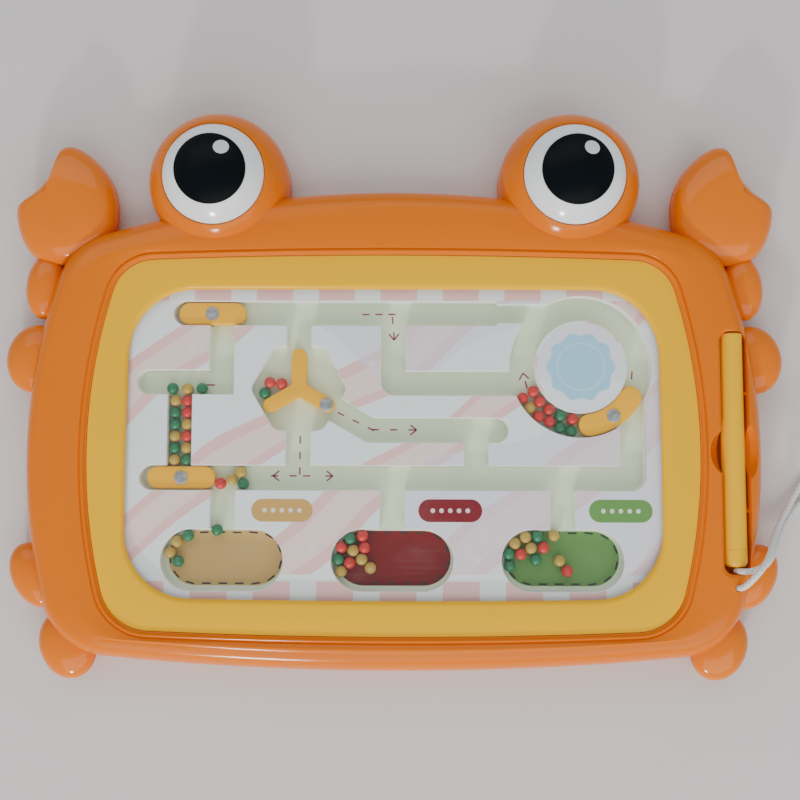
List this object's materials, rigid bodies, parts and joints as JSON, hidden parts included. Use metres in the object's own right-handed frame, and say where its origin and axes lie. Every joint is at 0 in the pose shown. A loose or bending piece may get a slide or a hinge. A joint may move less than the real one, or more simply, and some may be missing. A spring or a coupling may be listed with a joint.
{
  "type": "magnetic maze board",
  "caption": "Crab-shaped toy board whose pen draws steel balls through a windowed maze, past sliding gates and a rotor, into sorting pockets.",
  "frame": {"origin": "centre of the board's outline without the cord, on the flat back it lies on", "axes": "+X to the player's right, towards the pen; +Y away from the player, towards the eyes; +Z out of the window"},
  "size_m": [0.4907, 0.2917, 0.0469],
  "materials": {
    "orange_shell": "glossy moulded orange",
    "yellow_bezel": "glossy moulded yellow",
    "clear_window": "clear polished sheet",
    "maze_panel": "glossy moulded pale grey-green with printed marks",
    "maze_wall": "glossy moulded white with printed tops",
    "red_coat": "satin coat on steel balls",
    "yellow_coat": "satin coat on steel balls",
    "green_coat": "satin coat on steel balls",
    "amber_gate": "glossy moulded amber",
    "steel_slug": "bare mottled steel",
    "yellow_pen": "glossy moulded yellow",
    "pen_magnet": "bare dark magnet",
    "white_cord": "braided white cord",
    "eye_white": "glossy moulded white",
    "eye_pupil": "glossy moulded black",
    "screw_steel": "plated steel"
  },
  "bodies": {
    "board": {"front_shell": "orange_shell", "back_shell": "orange_shell", "bezel_frame": "yellow_bezel", "window_pane": "clear_window", "maze_floor": "maze_panel", "rotor_pin": "maze_panel", "maze_border": "maze_wall", "island_left": "maze_wall", "island_centre": "maze_wall", "island_exit": "maze_wall", "island_top": "maze_wall", "ring_island": "maze_wall", "case_screws": "screw_steel", "panel_screws": "screw_steel", "eye_whites": "eye_white", "eye_pupils": "eye_pupil", "red_balls": "red_coat", "yellow_balls": "yellow_coat", "green_balls": "green_coat", "pen_cord": "white_cord", "cord_knot": "white_cord"},
    "wand": {"pen_barrel": "yellow_pen", "pen_magnet": "pen_magnet", "pen_cap": "yellow_pen"},
    "top_gate": {"top_gate_slider": "amber_gate", "top_gate_slug": "steel_slug"},
    "lower_gate": {"lower_gate_slider": "amber_gate", "lower_gate_slug": "steel_slug"},
    "pushed_balls": {"pushed_red_ball": "red_coat", "pushed_yellow_balls": "yellow_coat", "pushed_green_ball": "green_coat"},
    "arc_gate": {"arc_gate_slider": "amber_gate", "arc_gate_slug": "steel_slug"},
    "rotor": {"rotor_arms": "amber_gate", "rotor_slug": "steel_slug", "rotor_red_balls": "red_coat", "rotor_green_ball": "green_coat"},
    "ball_left": {"left_green_ball": "green_coat"},
    "ball_right": {"right_green_ball": "green_coat"},
    "ball_chute": {"chute_green_ball": "green_coat"},
    "ball_pocket_yellow": {"pocket_yellow_ball": "yellow_coat"},
    "ball_pocket_red": {"pocket_red_ball": "red_coat"}
  },
  "joints": [
    {"name": "wand_lift", "type": "slide", "parent": "board", "child": "wand", "axis": [0, 0, 1], "range_m": [0, 0.045]},
    {"name": "top_gate_slide", "type": "slide", "parent": "board", "child": "top_gate", "axis": [1, 0, 0], "range_m": [-0.0019, 0.1308]},
    {"name": "lower_gate_slide", "type": "slide", "parent": "board", "child": "lower_gate", "axis": [1, 0, 0], "range_m": [-0.0032, 0.197]},
    {"name": "pushed_balls_roll", "type": "slide", "parent": "board", "child": "pushed_balls", "axis": [1, 0, 0], "range_m": [-0.0032, 0.197]},
    {"name": "arc_gate_swing", "type": "hinge", "parent": "board", "child": "arc_gate", "pos_m": [0.0953, 0.0128, 0.0173], "axis": [0, 0, 1], "range_deg": [0, 218]},
    {"name": "rotor_spin", "type": "hinge", "parent": "board", "child": "rotor", "pos_m": [-0.0483, 0.0015, 0.0173], "axis": [0, 0, 1], "continuous": true},
    {"name": "left_ball_roll", "type": "slide", "parent": "board", "child": "ball_left", "axis": [-1, 0, 0], "range_m": [0, 0.0115]},
    {"name": "right_ball_roll", "type": "slide", "parent": "board", "child": "ball_right", "axis": [1, 0, 0], "range_m": [0, 0.0133]},
    {"name": "chute_ball_roll", "type": "slide", "parent": "board", "child": "ball_chute", "axis": [0, -1, 0], "range_m": [-0.0165, 0.0265]},
    {"name": "pocket_yellow_roll", "type": "slide", "parent": "board", "child": "ball_pocket_yellow", "axis": [1, 0, 0], "range_m": [0, 0.0375]},
    {"name": "pocket_red_roll", "type": "slide", "parent": "board", "child": "ball_pocket_red", "axis": [1, 0, 0], "range_m": [0, 0.0233]}
  ],
  "couplings": [
    {"joint": "pushed_balls_roll", "follows": "lower_gate_slide", "ratio": 1}
  ]
}
